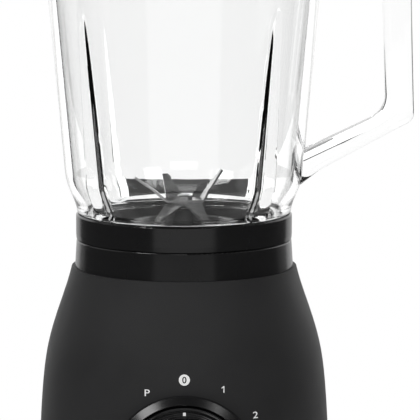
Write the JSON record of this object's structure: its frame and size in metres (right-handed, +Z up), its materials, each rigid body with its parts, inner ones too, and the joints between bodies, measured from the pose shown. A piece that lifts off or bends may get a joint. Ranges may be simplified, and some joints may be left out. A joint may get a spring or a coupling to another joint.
{
  "type": "countertop blender",
  "caption": "Countertop blender: matte black motor base with front speed dial, glass jar with handle, bladed base and collar, lid and measuring cap.",
  "frame": {"origin": "on the table, on the drive axis, in the plane of the rubber foot ring's underside", "axes": "+Z up along the drive axis, -Y towards the user and the dial, +X towards the jar's handle"},
  "size_m": [0.212, 0.174, 0.4069],
  "materials": {
    "body_black": "fine matte soft-touch black",
    "gloss_black": "polished black",
    "knob_black": "polished black, ring-turned face",
    "mark_white": "printed white",
    "plastic_black": "moulded",
    "lid_black": "satin moulded",
    "rubber_black": "matte",
    "seal_clear": "translucent silicone",
    "steel": "zinc plated",
    "blade_steel": "polished stainless",
    "lamination": "varnished electrical steel",
    "copper": "enamelled copper",
    "brass": "plain",
    "carbon": "carbon",
    "cast_aluminium": "die-cast",
    "clear_glass": "pressed clear glass",
    "cap_clear": "clear moulded"
  },
  "bodies": {
    "base": {"base_housing": "body_black", "neck_ring": "gloss_black", "neck_screws": "steel", "bottom_cover": "plastic_black", "bottom_screws": "steel", "rubber_foot_ring": "rubber_black", "dial_bezel": "gloss_black", "rotary_switch": "plastic_black", "switch_nut": "steel", "cord_gland": "plastic_black", "gland_nut": "plastic_black", "deck_seal": "rubber_black", "motor_upper_bracket": "cast_aluminium", "motor_lower_bracket": "cast_aluminium", "upper_bearing": "steel", "lower_bearing": "steel", "stator_core": "lamination", "field_coils": "copper", "motor_bolts": "steel", "motor_grommets": "rubber_black", "motor_screws": "steel", "brush_holders": "brass", "carbon_brushes": "carbon", "interlock_switch": "plastic_black", "interlock_spring": "steel"},
    "rotor": {"motor_shaft": "steel", "armature_core": "lamination", "armature_windings": "copper", "commutator": "copper", "cooling_fan": "plastic_black", "drive_coupling": "plastic_black"},
    "knob": {"control_knob": "knob_black", "knob_inlay": "knob_black", "knob_pointer": "mark_white", "switch_spindle": "steel"},
    "plunger": {"interlock_plunger": "plastic_black"},
    "jug": {"glass_jar": "clear_glass", "lock_collar": "gloss_black", "jar_gasket": "rubber_black", "blade_carrier": "gloss_black", "upper_bush": "brass", "lower_bush": "brass", "shaft_seal": "rubber_black"},
    "blade_unit": {"blade_shaft": "steel", "jar_coupling": "plastic_black", "blade_washer": "blade_steel", "blade_lower": "blade_steel", "blade_middle": "blade_steel", "blade_upper": "blade_steel", "blade_nut": "blade_steel"},
    "lid": {"lid": "lid_black", "lid_seal": "seal_clear"},
    "cap": {"measuring_cap": "cap_clear"}
  },
  "joints": [
    {"name": "knob_turn", "type": "hinge", "parent": "base", "child": "knob", "pos_m": [0, -0.075, 0.0718], "axis": [0, 1, 0], "range_deg": [-27, 54]},
    {"name": "rotor_spin", "type": "hinge", "parent": "base", "child": "rotor", "pos_m": [0, 0, 0.095], "axis": [0, 0, 1], "continuous": true},
    {"name": "interlock_press", "type": "slide", "parent": "base", "child": "plunger", "axis": [0, 0, 1], "range_m": [-0.0015, 0], "stiffness_N_per_m": 200, "springref_m": 0.003, "deforming": ["interlock_spring"]},
    {"name": "jug_lift", "type": "slide", "parent": "base", "child": "jug", "axis": [0, 0, 1], "range_m": [0, 0.06]},
    {"name": "blade_spin", "type": "hinge", "parent": "jug", "child": "blade_unit", "pos_m": [0, 0, 0.19], "axis": [0, 0, 1], "continuous": true},
    {"name": "lid_lift", "type": "slide", "parent": "jug", "child": "lid", "axis": [0, 0, 1], "range_m": [0, 0.05]},
    {"name": "cap_lift", "type": "slide", "parent": "lid", "child": "cap", "axis": [0, 0, 1], "range_m": [0, 0.045]}
  ],
  "couplings": [
    {"joint": "blade_spin", "follows": "rotor_spin", "ratio": 1}
  ]
}
